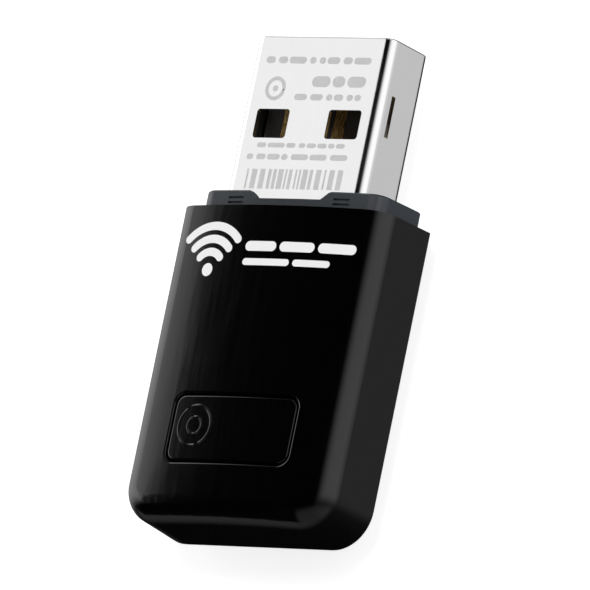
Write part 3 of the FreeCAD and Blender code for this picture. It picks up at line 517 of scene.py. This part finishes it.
def direction(azimuth, elevation):
    """Unit vector towards a point seen at an azimuth (0 from -Y, 90 from +X) and an elevation."""
    a = math.radians(azimuth)
    e = math.radians(elevation)
    return Vector((math.sin(a) * math.cos(e), -math.cos(a) * math.cos(e), math.sin(e)))


# The main view: angles in degrees, lens and sensor in millimetres
VIEW_FROM = direction(69.94, 49.76)
VIEW_ROLL = -62.84
VIEW_DISTANCE = 1.0033
LENS_LENGTH = 877.0
SENSOR_WIDTH = 36.0
AIM_RIGHT = 0.139 * MM
AIM_UP = -0.217 * MM


def mirrored(normal):
    """Where a light stands so that a face with this normal shows it in the main view."""
    return 2 * normal.dot(VIEW_FROM) * normal - VIEW_FROM


def make_floor():
    """Plain pale floor, bright enough to read as a white studio sweep. The gloss doesn't mirror it."""
    mesh = bpy.data.meshes.new("floor")
    half = 0.6
    corners = [(-half, -half, 0), (half, -half, 0), (half, half, 0), (-half, half, 0)]
    mesh.from_pydata(corners, [], [(0, 1, 2, 3)])
    floor = bpy.data.objects.new("floor", mesh)
    scene.collection.objects.link(floor)
    m = Finish("floor_white", Roughness=0.9, Specular_IOR_Level=0.1)
    m.drive("Base Color", m.mix(m.noise(0.05), grey(0.84), grey(0.86)))
    m.feed(m.shader.inputs["Emission Color"], grey(1))
    m.feed(m.shader.inputs["Emission Strength"], 0.8)
    mesh.materials.append(m.material)
    floor.visible_glossy = False
    floor.visible_shadow = False
    return floor


def make_camera():
    """A long lens looking down on the adapter, rolled so that the plug points up the picture."""
    camera = bpy.data.objects.new("camera", bpy.data.cameras.new("camera"))
    scene.collection.objects.link(camera)
    camera.data.lens = LENS_LENGTH
    camera.data.sensor_width = SENSOR_WIDTH
    camera.data.clip_start = 0.05
    camera.data.clip_end = 10.0
    turn = VIEW_FROM.to_track_quat("Z", "Y").to_matrix()
    turn = turn @ Matrix.Rotation(math.radians(VIEW_ROLL), 3, "Z")
    centre = Vector((0, 0, face_z / 2))
    place = centre + VIEW_FROM * VIEW_DISTANCE + turn.col[0] * AIM_RIGHT + turn.col[1] * AIM_UP
    camera.matrix_world = Matrix.Translation(place) @ turn.to_4x4()
    scene.camera = camera


def panel(name, towards, half_angles, radiance, only, distance=0.4):
    """A soft rectangular light that fills given half angles, in degrees, and is kept to some objects."""
    data = bpy.data.lights.new(name, "AREA")
    data.shape = "RECTANGLE"
    data.size, data.size_y = (2 * distance * math.tan(math.radians(angle)) for angle in half_angles)
    data.energy = radiance * math.pi * data.size * data.size_y
    light = bpy.data.objects.new(name, data)
    scene.collection.objects.link(light)
    light.visible_camera = False
    turn = towards.to_track_quat("Z", "Y").to_matrix().to_4x4()
    light.matrix_world = Matrix.Translation(towards * distance) @ turn
    group = bpy.data.collections.new(name + "_group")
    for thing in only:
        group.objects.link(thing)
    light.light_linking.receiver_collection = group
    return light


def make_surroundings():
    """A dark studio with a tall soft light on each side and a faint glow beyond each end.

    Each light is a product of fades across the sky, where x, y and z are the parts of a unit vector.
    The camera itself sees plain white.
    """
    world = bpy.data.worlds.new("studio")
    world.use_nodes = True
    t = Tree(world.node_tree, "Generated")
    parts = t.add("ShaderNodeSeparateXYZ", Vector=t.place).outputs
    x, y, z = parts["X"], parts["Y"], parts["Z"]

    def times(first, *rest):
        for value in rest:
            first = t.calculate("MULTIPLY", first, value)
        return first

    def fade(value, start, stop, low=0.0, high=1.0):
        return t.remap(value, low, high, start, stop, smooth=True)

    right = times(
        fade(x, 0.32, 0.92, 0.0, 1.15),
        fade(z, -0.9, -0.2, 0.17, 1.0),
        fade(y, -0.4, 0.15, 0.15, 1.0),
    )
    left = times(
        fade(x, -0.75, -0.5, 2.2, 0.0),
        fade(z, -0.9, 0.5),
        fade(z, 0.56, 0.62, 1.0, 0.0),
        fade(y, -0.35, 0.1),
    )
    tail = times(
        t.calculate("LESS_THAN", z, 0.0),
        fade(z, -0.75, -0.05, 0.0, 0.3),
        fade(y, -0.55, -0.25, 1.0, 0.0),
    )
    ends = times(
        t.calculate("GREATER_THAN", z, 0.0),
        fade(t.calculate("ABSOLUTE", y, 0.0), 0.3, 0.75, 0.0, 0.3),
        fade(x, -0.45, -0.2),
    )
    total = right
    for glow in (left, tail, ends):
        total = t.calculate("ADD", total, glow)

    seen = t.add("ShaderNodeLightPath").outputs["Is Camera Ray"]
    background = world.node_tree.nodes["Background"]
    t.feed(background.inputs["Strength"], t.calculate("MAXIMUM", total, seen))
    t.feed(background.inputs["Color"], grey(1))
    scene.world = world
    scene.view_settings.view_transform = "Standard"


def make_panels(floor):
    """Soft lights kept to the pieces that need them."""
    plug = [nodes[name] for name in ("usb_shell", "usb_insulator", "usb_contacts")]
    plug += [plug_marks, plug_stripes]
    collar = [nodes["nose_collar"]]
    up = Vector((0, 0, 1))
    side = Vector((1, 0, 0))
    corner = (up + side).normalized()

    panel("plug_front", mirrored(up), (14, 14), 1.0, plug)
    panel("plug_side", mirrored(side), (14, 14), 0.47, plug)
    panel("plug_top", direction(0, 81), (30, 12), 0.8, plug)
    panel("plug_nose", direction(0, 35), (30, 25), 0.7, plug)
    panel("plug_tail", direction(180, 30), (30, 15), 0.7, plug)
    panel("print_light", direction(0, 80), (30, 30), 2.4, [face_print])
    panel("collar_light", direction(0, 80), (30, 30), 1.35, collar)
    panel("collar_corner", mirrored(corner), (12, 12), 1.15, collar)
    panel("floor_light", direction(168, 62), (16, 16), 3.6, [floor])


studio_floor = make_floor()
make_camera()
make_surroundings()
make_panels(studio_floor)
